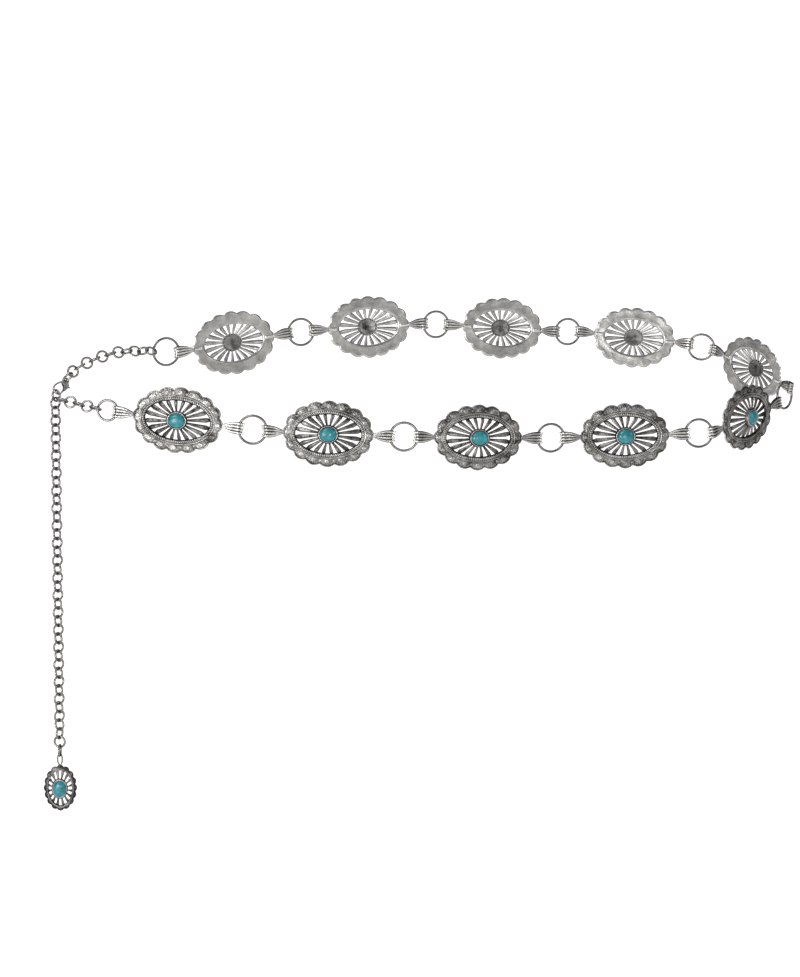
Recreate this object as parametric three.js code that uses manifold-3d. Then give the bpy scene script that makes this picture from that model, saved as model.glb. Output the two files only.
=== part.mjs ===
// Concho belt: ten scalloped, pierced conchos with turquoise stones, joined by wire rings into a
// loop, closed at the left by a lobster clasp, with a long chain end that carries a small pendant.
// Millimetres, +X to the wearer's left, +Y to the back, +Z up. The origin is the middle of the waist.
import * as THREE from 'three';
import { mergeVertices } from 'three/addons/utils/BufferGeometryUtils.js';
import Module from 'manifold-3d';

const wasm = await Module();
wasm.setup();

// Conchos: oval cast plates, measured over their scallops.
const conchosInRow = 5;
const conchoLength = 50.5;
const conchoHeight = 37;
const conchoThickness = 1.2;
const conchoDome = 2.6;
const scallops = 16;
const scallopDepth = 1.4;
const borderInset = 4.6;
const borderWidth = 1.8;
const borderRise = 0.8;
const conchoGaps = 10;
const spokeWidth = 1.7;
const gapMargin = 0.5;

// Stones: oval cabochons in raised collars.
const stoneLength = 10;
const stoneWidth = 8.2;
const stoneHeight = 2.6;
const collarWall = 0.7;
const collarHeight = 0.9;
const seatClearance = 0.3;

// Bails: a fan at each end of a concho, whose end wraps the wire of a ring.
const bailReach = 8.8;
const bailWidth = 7.6;
const bailNeck = 1.7;
const bailThickness = 1.5;
const tongueWidth = 2.4;
const solderDepth = 0.5;
const sleeveWall = 0.8;

// Rings between the conchos, and the smaller one at the front end.
const ringDiameter = 16.9;
const smallRingDiameter = 12.7;
const ringWire = 1.4;
const ringClearance = 0.35;
const ringSides = 12;

// Chain: round links of one size, each turned a quarter turn from the last.
const linkPitch = 4.9;
const linkWire = 1.27;
const linkWeld = 0.06;
const linkGap = 0.3;
const linkSides = 10;
const linkWireSides = 5;
const rearLinks = 12;
const frontLinks = 5;
const tailLinks = 41;
const junctionTurn = -40;
const junctionFrontAngle = -48;
const junctionTailAngle = -118;

// Lobster clasp: a flat head with the eye and the lever's slot, and a thinner hook arm.
const claspReach = 11;
const claspArm = 1.05;
const claspArmThickness = 1.4;
const claspThickness = 2.3;
const claspEyeHole = 1.25;
const claspEyeWall = 0.75;
const claspTurn = -40;
const leverThickness = 0.7;
const leverWidth = 1.1;
const leverHub = 1;
const leverClearance = 0.3;
const leverPin = 0.35;
const leverKnob = 0.65;

// Pendant: a small concho hung by its length, with an oval loop.
const pendantLength = 26.2;
const pendantHeight = 18.7;
const pendantThickness = 1.1;
const pendantDome = 1.4;
const pendantScallopDepth = 0.9;
const pendantBorderInset = 1.9;
const pendantBorderWidth = 0.9;
const pendantBorderRise = 0.5;
const pendantGaps = 16;
const pendantSpokeWidth = 1;
const pendantGapMargin = 0.3;
const pendantGapAlong = 3.8;
const pendantGapAcross = 1.2;
const pendantStoneHeight = 2.3;
const loopWire = 0.76;
const loopStretch = 2.58;

// Route of the loop, as shares of half its width: along the row, to the back, and up.
// It starts and ends at the junction link, runs along the front row and comes back behind.
const route = [
  { along: -1, back: -0.282, up: -0.036 },
  { along: -0.87, back: -0.303, up: -0.064 },
  { along: -0.765, back: -0.317, up: -0.075 },
  { along: -0.443, back: -0.327, up: -0.117 },
  { along: -0.041, back: -0.312, up: -0.133 },
  { along: 0.338, back: -0.234, up: -0.142 },
  { along: 0.817, back: -0.189, up: -0.123 },
  { along: 0.889, back: -0.042, up: -0.105 },
  { along: 0.999, back: 0.115, up: -0.001 },
  { along: 0.918, back: 0.266, up: 0.026 },
  { along: 0.578, back: 0.328, up: 0.105 },
  { along: 0.298, back: 0.276, up: 0.115 },
  { along: -0.103, back: 0.165, up: 0.142 },
  { along: -0.42, back: 0.062, up: 0.119 },
  { along: -0.71, back: -0.076, up: 0.075 },
  { along: -0.789, back: -0.118, up: 0.081 },
  { along: -0.874, back: -0.162, up: 0.077 },
  { along: -0.955, back: -0.21, up: 0.044 },
  { along: -0.982, back: -0.236, up: 0.02 },
  { along: -0.99, back: -0.257, up: -0.003 },
];
// Outlines of the clasp, as shares of its reach: from the eye to the hook, and to the lever's side.
const hookOutside = [
  { along: 0.16, side: -0.19 },
  { along: 0.31, side: -0.31 },
  { along: 0.54, side: -0.41 },
  { along: 0.76, side: -0.42 },
  { along: 0.92, side: -0.34 },
  { along: 1, side: -0.18 },
  { along: 0.97, side: 0 },
  { along: 0.88, side: 0.14 },
];
const headOutside = [
  { along: 0.3, side: -0.04 },
  { along: 0.36, side: 0.07 },
  { along: 0.55, side: 0.1 },
  { along: 0.56, side: 0.22 },
  { along: 0.38, side: 0.28 },
  { along: 0.2, side: 0.27 },
  { along: 0.02, side: 0.17 },
];
const leverPivot = { along: 0.2, side: 0.17 };
const junctionSeat = { along: 0.815, side: -0.185 };
// How far each chain is turned about its own line, along its length.
const twists = {
  chain_front: [{ share: 0, degrees: 70 }, { share: 1, degrees: 70 }],
  chain_rear: [{ share: 0, degrees: 50 }, { share: 0.4, degrees: 15 }, { share: 1, degrees: 14 }],
  chain_tail: [
    { share: 0, degrees: -40 },
    { share: 0.2, degrees: -45 },
    { share: 0.9, degrees: -45 },
    { share: 1, degrees: 0 },
  ],
};

const UP = new THREE.Vector3(0, 0, 1);
const AHEAD = new THREE.Vector3(1, 0, 0);
const degrees = THREE.MathUtils.degToRad;

const finish = (color, roughness, metalness) => (name) => new THREE.MeshStandardMaterial(
  { name, color, roughness, metalness });
const silver = finish(0x8b8a86, 0.34, 1);
const darkSilver = finish(0x6f6e6a, 0.4, 1);
const turquoise = finish(0x2fa6b3, 0.3, 0);

// Closed geometries to solids and back.
function solid(geometry, matrix = new THREE.Matrix4()) {
  const bare = geometry.clone().applyMatrix4(matrix);
  bare.deleteAttribute('normal');
  bare.deleteAttribute('uv');
  const merged = mergeVertices(bare, 1e-4);
  return new wasm.Manifold(new wasm.Mesh({
    numProp: 3,
    vertProperties: new Float32Array(merged.attributes.position.array),
    triVerts: new Uint32Array(merged.index.array),
  }));
}

function geometryOf(body) {
  const mesh = body.getMesh();
  const geometry = new THREE.BufferGeometry();
  geometry.setAttribute('position', new THREE.BufferAttribute(new Float32Array(mesh.vertProperties), 3));
  geometry.setIndex(new THREE.BufferAttribute(new Uint32Array(mesh.triVerts), 1));
  geometry.computeVertexNormals();
  return geometry;
}

const union = (bodies) => bodies.reduce((whole, body) => whole.add(body));

// A frame whose X runs along a piece, whose Z faces out of the loop and whose Y is near upright.
function frameAlong(start, end, at = 0.5) {
  const along = end.clone().sub(start).normalize();
  const out = along.clone().cross(UP).normalize();
  const upright = out.clone().cross(along);
  const place = start.clone().lerp(end, at);
  return new THREE.Matrix4().makeBasis(along, upright, out).setPosition(place);
}

// Ring of equally spaced points on an oval, each pushed outwards by swell(share of a scallop).
function ovalLoop(halfLength, halfHeight, count, height, swell = () => 0, first = 0) {
  const oval = new THREE.EllipseCurve(0, 0, halfLength, halfHeight, 0, 2 * Math.PI);
  oval.arcLengthDivisions = 400;
  return Array.from({ length: count }, (unused, k) => {
    const share = ((k + first) / count + 1) % 1;
    const point = oval.getPointAt(share);
    const tangent = oval.getTangentAt(share);
    const push = swell(k);
    return new THREE.Vector3(point.x + tangent.y * push, point.y - tangent.x * push, height);
  });
}

// Flat or domed area between a loop and the loops inside it, facing up or down.
function fill(triangles, contour, holes, facingUp) {
  const flat = (loop) => loop.map((p) => new THREE.Vector2(p.x, p.y));
  const points = [contour, ...holes].flat();
  for (const face of THREE.ShapeUtils.triangulateShape(flat(contour), holes.map(flat))) {
    const [a, b, c] = face.map((k) => points[k]);
    const turn = (b.x - a.x) * (c.y - a.y) - (b.y - a.y) * (c.x - a.x);
    triangles.push(...((turn > 0) === facingUp ? [a, b, c] : [a, c, b]));
  }
}

// Wall between two loops of as many points, facing out where the second is above the first.
function band(triangles, from, to) {
  from.forEach((a, k) => {
    const next = (k + 1) % from.length;
    triangles.push(a, from[next], to[next], a, to[next], to[k]);
  });
}

// A pierced oval plate: scalloped rim, raised border, domed spokes and a collar for the stone.
// Its long axis is X and its front faces +Z; the flat back of the rim is at height 0.
function conchoPlate(size) {
  const halfLength = size.length / 2;
  const halfHeight = size.height / 2;
  const innerLength = halfLength - size.borderInset - size.borderWidth;
  const innerHeight = halfHeight - size.borderInset - size.borderWidth;
  const dome = (x, y) => {
    const reach = Math.min(1, Math.hypot(x / innerLength, y / innerHeight));
    return size.dome * (1 - reach * reach);
  };
  const front = (p) => p.clone().setZ(size.thickness + dome(p.x, p.y));
  const back = (p) => p.clone().setZ(dome(p.x, p.y));

  const pointsInScallop = 3;
  const crest = Math.sin(Math.PI / pointsInScallop);
  const rimSwell = (k) => size.scallopDepth
    * (Math.sin(((k % pointsInScallop) / pointsInScallop) * Math.PI) - crest);
  const rim = ovalLoop(halfLength, halfHeight, scallops * pointsInScallop, 0, rimSwell, -pointsInScallop / 2);
  const borderFoot = ovalLoop(
    halfLength - size.borderInset, halfHeight - size.borderInset, scallops, size.thickness);
  const borderCrest = ovalLoop(
    halfLength - size.borderInset - size.borderWidth / 2,
    halfHeight - size.borderInset - size.borderWidth / 2,
    scallops, size.thickness + size.borderRise);

  const pierce = new THREE.EllipseCurve(0, 0, innerLength - size.gapMargin, innerHeight - size.gapMargin);
  const collarOut = size.stoneLength / 2 + seatClearance + collarWall;
  const collarSide = size.stoneWidth / 2 + seatClearance + collarWall;
  const hub = new THREE.EllipseCurve(0, 0, collarOut + size.gapMargin, collarSide + size.gapMargin);
  const halfGap = (0.5 - size.spokeWidth / 2 / (pierce.getLength() / size.gaps)) / size.gaps;
  const gaps = Array.from({ length: size.gaps }, (unused, k) => {
    const share = k / size.gaps;
    const outer = [-halfGap, 0, halfGap].map((offset) => pierce.getPointAt((share + offset + 1) % 1));
    return [hub.getPointAt(share), ...outer].map((p) => new THREE.Vector3(p.x, p.y, 0));
  });

  const seatTop = size.thickness + size.dome;
  const collarFoot = ovalLoop(collarOut, collarSide, linkSides, 0).map(front);
  const collarTop = ovalLoop(collarOut, collarSide, linkSides, seatTop + collarHeight);
  const lip = ovalLoop(collarOut - collarWall, collarSide - collarWall, linkSides, seatTop + collarHeight);
  const seat = ovalLoop(collarOut - collarWall, collarSide - collarWall, linkSides, seatTop);

  const triangles = [];
  const rimFront = rim.map(front);
  band(triangles, rim, rimFront);
  fill(triangles, rimFront, [borderFoot], true);
  band(triangles, borderFoot, borderCrest);
  fill(triangles, borderCrest, [...gaps.map((gap) => gap.map(front)), collarFoot], true);
  band(triangles, collarFoot, collarTop);
  band(triangles, collarTop, lip);
  band(triangles, lip, seat);
  fill(triangles, seat, [], true);
  fill(triangles, rim, gaps.map((gap) => gap.map(back)), false);
  gaps.forEach((gap) => band(triangles, gap.map(front), gap.map(back)));
  return solid(new THREE.BufferGeometry().setFromPoints(triangles));
}

// Oval cabochon whose flat base is at height 0.
function cabochon(length, width, height) {
  const profile = [
    new THREE.Vector2(0, 0),
    new THREE.Vector2(0.5, 0),
    new THREE.Vector2(0.36, 0.72),
    new THREE.Vector2(0, 1),
  ];
  const geometry = new THREE.LatheGeometry(profile, linkSides);
  geometry.rotateX(Math.PI / 2);
  geometry.scale(length, width, height);
  return solid(geometry);
}

// A wire ring round Z, with a corner on X.
const hoop = (radius, wire, sides, wireSides) => new THREE.TorusGeometry(radius, wire, wireSides, sides);

// Flat piece with this outline and thickness, centred on height 0.
function flatPiece(outline, thickness, holes = []) {
  const shape = new THREE.Shape(outline);
  shape.holes = holes.map((hole) => new THREE.Path(hole));
  const geometry = new THREE.ExtrudeGeometry(shape, { depth: thickness, bevelEnabled: false });
  geometry.translate(0, 0, -thickness / 2);
  return geometry;
}

const circle = (x, y, radius, sides) => Array.from({ length: sides }, (unused, k) => {
  const angle = ((k + 0.5) / sides) * 2 * Math.PI;
  return new THREE.Vector2(x + radius * Math.cos(angle), y + radius * Math.sin(angle));
});

// Fan of a bail, from the tongue behind the rim to the ring, towards +X.
function bailFan(plateHalf, eye) {
  const inner = plateHalf - borderInset;
  const wide = eye - ringWire / 2;
  const half = [
    [inner, tongueWidth / 2],
    [plateHalf - scallopDepth, bailNeck / 2],
    [plateHalf + scallopDepth, bailNeck / 2],
    [wide, bailWidth / 2],
  ];
  const outline = [...half.map(([x, y]) => [x, -y]), ...half.map(([x, y]) => [x, y]).reverse()];
  return flatPiece(outline.map(([x, y]) => new THREE.Vector2(x, y)), bailThickness);
}

// Everything that is strung on the loop, in order from the junction link.
const linkInner = (linkPitch - linkWeld) / 2;
const linkCorner = linkInner / Math.cos(Math.PI / linkSides)
  + (linkWire / 2) * Math.cos(Math.PI / linkWireSides);
const linkRadius = linkCorner * Math.cos(Math.PI / linkSides);
const linkToRing = linkInner - linkGap - ringWire / 2;
const linkToClasp = linkRadius;
const ringRadius = (ringDiameter - ringWire) / 2;
const smallRingRadius = (smallRingDiameter - ringWire) / 2;
const conchoSpan = conchoLength + 2 * bailReach;
const inClasp = (share) => new THREE.Vector2(share.along, share.side).multiplyScalar(claspReach);
const claspJoint = inClasp(junctionSeat);
const claspSpan = claspJoint.length();

const strung = [];
function addChain(name, links, firstReach, lastReach) {
  for (let k = 0; k < links; k += 1) {
    const before = k === 0 ? firstReach : linkPitch / 2;
    const after = k === links - 1 ? lastReach : linkPitch / 2;
    strung.push({ kind: 'link', name, index: k, length: before + after, at: before / (before + after) });
  }
}
function addRow(name, order) {
  order.forEach((number, k) => {
    if (k > 0) {
      const joined = Math.min(number, order[k - 1]);
      strung.push({ kind: 'ring', name: `ring_${name}_${joined}`, length: 2 * ringRadius });
    }
    strung.push({ kind: 'concho', name: `${name}_${number}`, length: conchoSpan });
  });
}
const rowOrder = Array.from({ length: conchosInRow }, (unused, k) => k + 1);
addChain('chain_front', frontLinks, linkPitch / 2, linkToRing);
strung.push({ kind: 'ring', name: 'ring_front_end', length: 2 * smallRingRadius, small: true });
addRow('front', rowOrder);
strung.push({ kind: 'ring', name: 'ring_side', length: 2 * ringRadius });
addRow('rear', [...rowOrder].reverse());
strung.push({ kind: 'ring', name: 'ring_rear_end', length: 2 * ringRadius });
addChain('chain_rear', rearLinks, linkToRing, linkToClasp);
strung.push({ kind: 'clasp', name: 'clasp', length: claspSpan });

// The junction link hangs from the clasp and carries the front chain and the hanging end.
const junctionBasis = new THREE.Matrix4().makeRotationZ(degrees(junctionTurn))
  .multiply(new THREE.Matrix4().makeRotationX(Math.PI / 2));
const inJunction = (radius, angle) => new THREE.Vector3(
  radius * Math.cos(degrees(angle)), radius * Math.sin(degrees(angle)), 0).applyMatrix4(junctionBasis);
const junctionToFront = inJunction(linkPitch / 2, junctionFrontAngle);
const junctionToClasp = inJunction(linkRadius, 90);

// Walks the route of this half width in straight steps, one for each strung piece but the clasp.
function walk(halfWidth) {
  const points = route.map((p) => new THREE.Vector3(p.along, p.back, p.up).multiplyScalar(halfWidth));
  points.push(points[0].clone().sub(junctionToFront).add(junctionToClasp));
  const dense = new THREE.CatmullRomCurve3(points, false, 'centripetal').getPoints(3000);
  const steps = [dense[0]];
  let next = 1;
  for (const piece of strung.slice(0, -1)) {
    const start = steps[steps.length - 1];
    while (next < dense.length && dense[next].distanceTo(start) < piece.length) next += 1;
    if (next === dense.length) return { steps, left: -claspSpan };
    const [near, far] = [dense[next - 1], dense[next]];
    const [short, long] = [near.distanceTo(start), far.distanceTo(start)];
    steps.push(near.clone().lerp(far, Math.max(0, (piece.length - short) / (long - short))));
  }
  const target = dense[dense.length - 1];
  return { steps: [...steps, target], left: target.distanceTo(steps[steps.length - 1]) - claspSpan };
}

// The loop is as long as its pieces: the route is scaled until the clasp spans what is left of it.
function closeLoop() {
  const strungLength = strung.reduce((sum, piece) => sum + piece.length, 0);
  let low = 0.15 * strungLength;
  let high = 0.35 * strungLength;
  for (let turn = 0; turn < 40; turn += 1) {
    const middle = (low + high) / 2;
    if (walk(middle).left < 0) low = middle;
    else high = middle;
  }
  return walk(high).steps;
}

const ends = closeLoop();
strung.forEach((piece, k) => {
  piece.frame = frameAlong(ends[k], ends[k + 1], piece.at ?? 0.5);
});

const belt = new THREE.Group();
function place(name, body, material, frame = new THREE.Matrix4()) {
  const mesh = new THREE.Mesh(geometryOf(body), material(name));
  mesh.name = name;
  frame.decompose(mesh.position, mesh.quaternion, mesh.scale);
  belt.add(mesh);
  return mesh;
}

// Rings.
for (const piece of strung.filter((p) => p.kind === 'ring')) {
  piece.radius = piece.small ? smallRingRadius : ringRadius;
  place(piece.name, solid(hoop(piece.radius, ringWire / 2, ringSides, linkWireSides)), silver, piece.frame);
}

// Conchos, each one casting with its two bails, and their stones.
const plateSize = {
  length: conchoLength, height: conchoHeight, thickness: conchoThickness, dome: conchoDome,
  scallopDepth, borderInset, borderWidth, borderRise, gaps: conchoGaps, spokeWidth, gapMargin,
  stoneLength, stoneWidth,
};
const plate = conchoPlate(plateSize);
const plateLift = bailThickness / 2 - solderDepth;
const stone = cabochon(stoneLength, stoneWidth, stoneHeight);
const half = conchoSpan / 2;
strung.forEach((piece, k) => {
  if (piece.kind !== 'concho') return;
  let body = plate.translate([0, 0, plateLift]);
  const intoPiece = piece.frame.clone().invert();
  for (const [side, neighbour] of [[-1, strung[k - 1]], [1, strung[k + 1]]]) {
    const turn = new THREE.Matrix4().makeRotationZ(side < 0 ? Math.PI : 0);
    const ringPlace = intoPiece.clone().multiply(neighbour.frame);
    const tunnel = ringWire / 2 + ringClearance;
    const sleeve = solid(hoop(neighbour.radius, tunnel + sleeveWall, ringSides, linkWireSides + 1), ringPlace);
    const reach = 4 * (tunnel + sleeveWall);
    const atEnd = new THREE.Matrix4().makeTranslation(side * half, 0, 0);
    const end = solid(new THREE.BoxGeometry(reach, bailWidth, reach), atEnd);
    body = body.add(solid(bailFan(conchoLength / 2, half), turn)).add(sleeve.intersect(end));
    body = body.subtract(solid(hoop(neighbour.radius, tunnel, ringSides, linkWireSides), ringPlace));
  }
  place(`concho_${piece.name}`, body, silver, piece.frame);
  const seated = piece.frame.clone()
    .multiply(new THREE.Matrix4().makeTranslation(0, 0, plateLift + conchoThickness + conchoDome + seatClearance));
  place(`stone_${piece.name}`, stone, turquoise, seated);
});

// Chain links, fused where they touch.
function twistAt(name, share) {
  const rows = twists[name];
  const k = Math.max(1, rows.findIndex((row) => row.share >= share));
  const [a, b] = [rows[k - 1], rows[k]];
  return a.degrees + ((share - a.share) / (b.share - a.share)) * (b.degrees - a.degrees);
}
const link = hoop(linkCorner, linkWire / 2, linkSides, linkWireSides);
link.rotateZ(Math.PI / linkSides);
function chainOf(name) {
  const links = strung.filter((piece) => piece.name === name);
  return links.map((piece, k) => {
    const turn = twistAt(name, k / (links.length - 1)) + 90 * (k % 2);
    return solid(link, piece.frame.clone().multiply(new THREE.Matrix4().makeRotationX(degrees(turn))));
  });
}

const junctionCentre = ends[0].clone().sub(junctionToFront);
const junctionPlace = junctionBasis.clone().setPosition(junctionCentre);
const junctionCorner = new THREE.Matrix4().makeRotationZ(degrees(junctionFrontAngle));
const junctionLink = solid(link, junctionPlace.clone().multiply(junctionCorner));
place('chain_front', union([junctionLink, ...chainOf('chain_front')]), silver);
place('chain_rear', union(chainOf('chain_rear')), silver);

// The hanging end, from the junction link straight down.
const hangingWire = junctionCentre.clone()
  .add(inJunction(linkInner - linkGap - linkWire / 2, junctionTailAngle));
const tailTop = hangingWire.clone().addScaledVector(UP, -linkRadius);
const tail = Array.from({ length: tailLinks }, (unused, k) => {
  const facing = twistAt('chain_tail', k / (tailLinks - 1)) + (k % 2 === 0 ? 90 : 0);
  const frame = new THREE.Matrix4().makeTranslation(0, 0, -k * linkPitch)
    .multiply(new THREE.Matrix4().makeRotationZ(degrees(facing)))
    .multiply(new THREE.Matrix4().makeRotationX(Math.PI / 2))
    .multiply(new THREE.Matrix4().makeRotationZ(Math.PI / 2));
  return solid(link, frame);
});
place('chain_tail', union(tail), silver, new THREE.Matrix4().setPosition(tailTop));

// Pendant, on the last link's lowest wire, which it swings about.
const pendantPivot = tailTop.clone().addScaledVector(UP, -(tailLinks - 1) * linkPitch - linkRadius);
const pendantBand = pendantBorderInset + pendantBorderWidth
  + 2 * pendantGapMargin + seatClearance + collarWall;
const pendantStoneLength = pendantLength - 2 * (pendantBand + pendantGapAlong);
const pendantStoneWidth = pendantHeight - 2 * (pendantBand + pendantGapAcross);
const loopRadius = linkWire / 2 + linkGap + loopWire / 2;
const loopCentre = linkWire / 2 + linkGap - (loopRadius - loopWire / 2) * loopStretch;
const loopFoot = loopCentre - (loopRadius + loopWire / 2) * loopStretch;
const pendantSize = {
  length: pendantLength, height: pendantHeight, thickness: pendantThickness, dome: pendantDome,
  scallopDepth: pendantScallopDepth, borderInset: pendantBorderInset, borderWidth: pendantBorderWidth,
  borderRise: pendantBorderRise, gaps: pendantGaps, spokeWidth: pendantSpokeWidth, gapMargin: pendantGapMargin,
  stoneLength: pendantStoneLength, stoneWidth: pendantStoneWidth,
};
const pendantCentre = -(loopFoot + loopWire / 2) + pendantLength / 2;
const pendantFrame = new THREE.Matrix4().makeBasis(
  new THREE.Vector3(0, 0, -1), AHEAD, new THREE.Vector3(0, -1, 0)).setPosition(pendantPivot);
const loop = hoop(loopRadius, loopWire / 2, linkSides, linkWireSides);
loop.scale(loopStretch, 1, 1);
loop.translate(-loopCentre, 0, 0);
const pendantPlate = conchoPlate(pendantSize).translate([pendantCentre, 0, -pendantThickness / 2]);
place('pendant', pendantPlate.add(solid(loop)), darkSilver, pendantFrame);
const pendantSeat = new THREE.Matrix4().makeTranslation(
  pendantCentre, 0, pendantThickness / 2 + pendantDome + seatClearance);
place('pendant_stone', cabochon(pendantStoneLength, pendantStoneWidth, pendantStoneHeight),
  turquoise, pendantFrame.clone().multiply(pendantSeat));

// Clasp: X from its eye to the hook, Y to the lever's side, Z through the eye.
const hookOuter = hookOutside.map(inClasp);
const hookInner = hookOuter.map((p, k) => {
  const run = hookOuter[Math.min(k + 1, hookOuter.length - 1)].clone().sub(hookOuter[Math.max(k - 1, 0)]);
  return new THREE.Vector2(-run.y, run.x).setLength(claspArm).add(p);
});
const arm = solid(flatPiece([...hookOuter, ...hookInner.reverse()], claspArmThickness));
const eyeOuter = claspEyeHole + claspEyeWall;
const headOutline = [new THREE.Vector2(0, -eyeOuter), hookOuter[0], ...headOutside.map(inClasp)];
const head = solid(flatPiece(headOutline, claspThickness));
const eyeRing = solid(flatPiece(circle(0, 0, eyeOuter, ringSides), claspThickness));
const eyeHole = solid(flatPiece(circle(0, 0, claspEyeHole, ringSides), 2 * claspThickness));
const pivot = inClasp(leverPivot);
const clearHub = leverHub + leverClearance;
const slotGap = leverThickness + 2 * leverClearance;
const slot = solid(flatPiece([
  new THREE.Vector2(pivot.x - clearHub, pivot.y - clearHub),
  new THREE.Vector2(claspReach, pivot.y - clearHub - leverWidth),
  new THREE.Vector2(claspReach, pivot.y + 2 * clearHub),
  new THREE.Vector2(pivot.x - clearHub, pivot.y + 2 * clearHub),
], slotGap));
const pin = solid(flatPiece(circle(pivot.x, pivot.y, leverPin, linkSides), claspThickness - leverClearance));
const claspBody = union([head, eyeRing]).subtract(eyeHole).subtract(slot).add(pin).add(arm);
const claspAlong = ends[ends.length - 1].clone().sub(ends[ends.length - 2]).normalize();
const claspSide = claspAlong.clone().cross(AHEAD).cross(claspAlong).normalize();
const claspFrame = new THREE.Matrix4()
  .makeBasis(claspAlong, claspSide, claspAlong.clone().cross(claspSide))
  .setPosition(ends[ends.length - 2])
  .multiply(new THREE.Matrix4().makeRotationX(degrees(claspTurn)))
  .multiply(new THREE.Matrix4().makeRotationZ(-claspJoint.angle()));
place('clasp_body', claspBody, darkSilver, claspFrame);

// Lever: a strip from the pin to the inside of the hook's tip, with a thumb knob beside the pin.
const hookTip = hookInner[0];
const leverEnd = new THREE.Vector2(hookTip.x, hookTip.y + leverWidth / 2 - claspArm / 2);
const leverRun = leverEnd.clone().sub(pivot);
const leverLength = leverRun.length() - leverClearance;
const knobReach = leverHub + leverKnob;
const strip = solid(flatPiece([
  new THREE.Vector2(0, -leverWidth / 2),
  new THREE.Vector2(leverLength - leverWidth / 2, -leverWidth / 2),
  new THREE.Vector2(leverLength, 0),
  new THREE.Vector2(leverLength - leverWidth / 2, leverWidth / 2),
  new THREE.Vector2(leverKnob / 2, leverWidth / 2),
  new THREE.Vector2(leverKnob, knobReach),
  new THREE.Vector2(0, knobReach + leverKnob),
  new THREE.Vector2(-leverKnob, knobReach),
  new THREE.Vector2(-leverKnob / 2, leverWidth / 2),
], leverThickness));
const hub = solid(flatPiece(circle(0, 0, leverHub, ringSides), leverThickness));
const pinHole = solid(flatPiece(circle(0, 0, leverPin + leverClearance, linkSides), 2 * leverThickness));
const leverFrame = claspFrame.clone()
  .multiply(new THREE.Matrix4().makeTranslation(pivot.x, pivot.y, 0))
  .multiply(new THREE.Matrix4().makeRotationZ(leverRun.angle()));
place('clasp_lever', strip.add(hub).subtract(pinHole), darkSilver, leverFrame);

export default belt;
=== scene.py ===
import math

import bpy
import numpy as np
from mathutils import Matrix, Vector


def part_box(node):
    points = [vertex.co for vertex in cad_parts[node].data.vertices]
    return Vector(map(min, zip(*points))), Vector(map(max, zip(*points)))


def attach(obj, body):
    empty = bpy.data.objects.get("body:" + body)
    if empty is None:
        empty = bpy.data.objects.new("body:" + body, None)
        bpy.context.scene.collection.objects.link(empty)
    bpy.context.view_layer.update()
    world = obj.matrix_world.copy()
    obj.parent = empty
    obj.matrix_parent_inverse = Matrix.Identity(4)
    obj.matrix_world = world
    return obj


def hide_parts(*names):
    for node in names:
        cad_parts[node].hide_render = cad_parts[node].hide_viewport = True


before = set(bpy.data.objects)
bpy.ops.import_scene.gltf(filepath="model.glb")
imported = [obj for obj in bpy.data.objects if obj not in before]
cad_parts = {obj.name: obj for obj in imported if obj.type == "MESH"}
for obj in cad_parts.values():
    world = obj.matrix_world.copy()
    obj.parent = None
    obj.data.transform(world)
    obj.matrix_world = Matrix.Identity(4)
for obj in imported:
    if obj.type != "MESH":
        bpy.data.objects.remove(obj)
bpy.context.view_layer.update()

# The conchos.
# Ten oval plates of zinc alloy, cast in one and plated antique silver: a scalloped and stamped
# rim, a raised border with a rope line, twenty domed spokes, a collar, and at each end a fluted
# fan whose four fingers are curled round the wire of a ring.
MM = 0.001
SILVER_BRIGHT = (0.74, 0.725, 0.70, 1)
SILVER_DARK = (0.030, 0.028, 0.026, 1)
BACK_DARK = 0.56
LOBES = 16
STROKES = 7


class Shade:
    """One value of a shader: Python's operators on it add the Math node they name."""

    def __init__(self, tree, socket):
        self.tree = tree
        self.socket = socket

    def node(self, kind, settings=None, values=None, out=0):
        """A node of this kind: its settings first, then the value or link of each named socket."""
        made = self.tree.nodes.new(kind)
        for name, value in (settings or {}).items():
            if name == "stops":
                ramp = made.color_ramp
                ramp.elements[0].position, ramp.elements[0].color = value[0]
                ramp.elements[1].position, ramp.elements[1].color = value[-1]
                for position, colour in value[1:-1]:
                    ramp.elements.new(position).color = colour
            else:
                setattr(made, name, value)
        for key, value in (values or {}).items():
            if isinstance(value, Shade):
                self.tree.links.new(value.socket, made.inputs[key])
            else:
                made.inputs[key].default_value = value
        return Shade(self.tree, made.outputs[out])

    def math(self, operation, first, second):
        """One Math node on two values."""
        return self.node("ShaderNodeMath", {"operation": operation}, {0: first, 1: second})

    def __add__(self, other):
        return self.math("ADD", self, other)

    __radd__ = __add__

    def __mul__(self, other):
        return self.math("MULTIPLY", self, other)

    __rmul__ = __mul__

    def __sub__(self, other):
        return self.math("SUBTRACT", self, other)

    def __rsub__(self, other):
        return self.math("SUBTRACT", other, self)

    def clamp(self):
        """The value, held between 0 and 1."""
        return self.math("MINIMUM", self.math("MAXIMUM", self, 0.0), 1.0)

    def between(self, dark, bright):
        """The colour this share of the way from the first colour to the second."""
        return self.node(
            "ShaderNodeMix", {"data_type": "RGBA"}, {"Factor": self, 6: dark, 7: bright}, out=2
        )

    def noise(self, size, detail=3.0, rough=0.55):
        """Noise in object space, whose grains are about this many metres across."""
        place = self.node("ShaderNodeTexCoord", out=3)
        return self.node(
            "ShaderNodeTexNoise", None,
            {"Vector": place, "Scale": 1 / size, "Detail": detail, "Roughness": rough},
        )


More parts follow.
